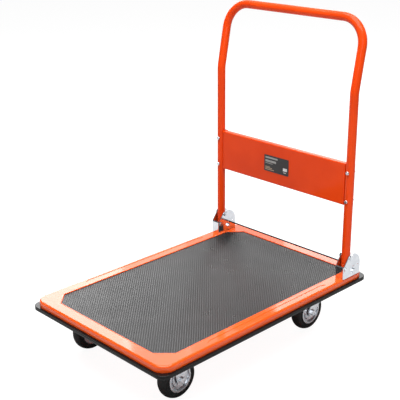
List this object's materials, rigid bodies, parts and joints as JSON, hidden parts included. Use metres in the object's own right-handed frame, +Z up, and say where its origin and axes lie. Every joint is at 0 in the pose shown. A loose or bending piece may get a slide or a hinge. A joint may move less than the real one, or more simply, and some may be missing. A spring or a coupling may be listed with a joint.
{
  "type": "folding platform cart",
  "caption": "Flat pressed-steel platform cart with a ribbed mat, bumper strip, fixed and swivel casters and a U-shaped push handle that folds down over the deck.",
  "frame": {"origin": "on the floor, under the centre of the deck and its bumper", "axes": "+X across the deck to the right of a person at the front looking towards the handle, +Y along the deck towards the handle, +Z up"},
  "size_m": [0.482, 0.723, 0.808],
  "materials": {
    "deck_paint": "gloss orange powder coat on pressed steel",
    "handle_paint": "gloss orange powder coat on steel tube",
    "panel_paint": "gloss orange powder coat on folded sheet",
    "frame_paint": "orange powder coat on folded channel",
    "mat_vinyl": "ribbed dark grey vinyl",
    "bumper_rubber": "satin black rubber",
    "tyre_rubber": "matte black solid rubber",
    "rim_steel": "satin zinc-plated pressed steel",
    "hub_steel": "turned steel",
    "label_print": "charcoal printed plate",
    "plug_plastic": "black moulded plastic",
    "bracket_zinc": "bright zinc-plated sheet steel",
    "caster_zinc": "zinc-plated pressed steel",
    "pawl_zinc": "zinc-plated steel",
    "rod_black": "satin black finish on a steel rod",
    "fastener_zinc": "zinc-plated steel"
  },
  "bodies": {
    "deck": {"anti_slip_mat": "mat_vinyl", "bracket_bolts": "fastener_zinc", "bracket_nuts": "fastener_zinc", "bracket_tie_rod": "rod_black", "bumper_strip": "bumper_rubber", "caster_bolts": "fastener_zinc", "caster_nuts": "fastener_zinc", "deck_pan": "deck_paint", "front_axle_bolts": "fastener_zinc", "front_axle_nuts": "fastener_zinc", "front_axle_spacers": "fastener_zinc", "front_crossmember": "frame_paint", "front_left_fork": "caster_zinc", "front_right_fork": "caster_zinc", "handle_pivot_bolts": "fastener_zinc", "handle_pivot_nuts": "fastener_zinc", "handle_stop_pins": "fastener_zinc", "left_hinge_bracket": "bracket_zinc", "left_stiffener": "frame_paint", "lock_pivot_bolts": "fastener_zinc", "lock_pivot_nuts": "fastener_zinc", "lock_spring_washers": "fastener_zinc", "rear_crossmember": "frame_paint", "rear_left_kingpin": "fastener_zinc", "rear_left_race_balls": "fastener_zinc", "rear_left_top_plate": "caster_zinc", "rear_right_kingpin": "fastener_zinc", "rear_right_race_balls": "fastener_zinc", "rear_right_top_plate": "caster_zinc", "right_hinge_bracket": "bracket_zinc", "right_stiffener": "frame_paint"},
    "handle": {"handle_tube": "handle_paint", "handle_panel": "panel_paint", "label_plate": "label_print", "panel_screws": "fastener_zinc", "panel_nuts": "fastener_zinc", "handle_pivot_bushes": "fastener_zinc", "handle_foot_plugs": "plug_plastic"},
    "left_lock": {"left_lock_pawl": "pawl_zinc"},
    "right_lock": {"right_lock_pawl": "pawl_zinc"},
    "front_left_wheel": {"front_left_tyre": "tyre_rubber", "front_left_rim": "rim_steel", "front_left_hub": "hub_steel"},
    "front_right_wheel": {"front_right_tyre": "tyre_rubber", "front_right_rim": "rim_steel", "front_right_hub": "hub_steel"},
    "rear_left_wheel": {"rear_left_tyre": "tyre_rubber", "rear_left_rim": "rim_steel", "rear_left_hub": "hub_steel"},
    "rear_right_wheel": {"rear_right_tyre": "tyre_rubber", "rear_right_rim": "rim_steel", "rear_right_hub": "hub_steel"},
    "rear_left_swivel": {"rear_left_yoke": "caster_zinc", "rear_left_axle_bolt": "fastener_zinc", "rear_left_axle_nut": "fastener_zinc", "rear_left_axle_spacer": "fastener_zinc"},
    "rear_right_swivel": {"rear_right_yoke": "caster_zinc", "rear_right_axle_bolt": "fastener_zinc", "rear_right_axle_nut": "fastener_zinc", "rear_right_axle_spacer": "fastener_zinc"}
  },
  "joints": [
    {"name": "handle_fold", "type": "hinge", "parent": "deck", "child": "handle", "pos_m": [0, 0.289, 0.2], "axis": [1, 0, 0], "range_deg": [0, 95]},
    {"name": "left_lock_turn", "type": "hinge", "parent": "deck", "child": "left_lock", "pos_m": [-0.2225, 0.301, 0.161], "axis": [1, 0, 0], "range_deg": [0, 90]},
    {"name": "right_lock_turn", "type": "hinge", "parent": "deck", "child": "right_lock", "pos_m": [0.2225, 0.301, 0.161], "axis": [1, 0, 0], "range_deg": [0, 90]},
    {"name": "front_left_roll", "type": "hinge", "parent": "deck", "child": "front_left_wheel", "pos_m": [-0.1575, -0.248, 0.05], "axis": [1, 0, 0], "continuous": true},
    {"name": "rear_left_swivel_turn", "type": "hinge", "parent": "deck", "child": "rear_left_swivel", "pos_m": [-0.1575, 0.248, 0.05], "axis": [0, 0, 1], "continuous": true},
    {"name": "rear_left_roll", "type": "hinge", "parent": "rear_left_swivel", "child": "rear_left_wheel", "pos_m": [-0.1575, 0.216, 0.05], "axis": [1, 0, 0], "continuous": true},
    {"name": "front_right_roll", "type": "hinge", "parent": "deck", "child": "front_right_wheel", "pos_m": [0.1575, -0.248, 0.05], "axis": [1, 0, 0], "continuous": true},
    {"name": "rear_right_swivel_turn", "type": "hinge", "parent": "deck", "child": "rear_right_swivel", "pos_m": [0.1575, 0.248, 0.05], "axis": [0, 0, 1], "continuous": true},
    {"name": "rear_right_roll", "type": "hinge", "parent": "rear_right_swivel", "child": "rear_right_wheel", "pos_m": [0.1575, 0.216, 0.05], "axis": [1, 0, 0], "continuous": true}
  ]
}
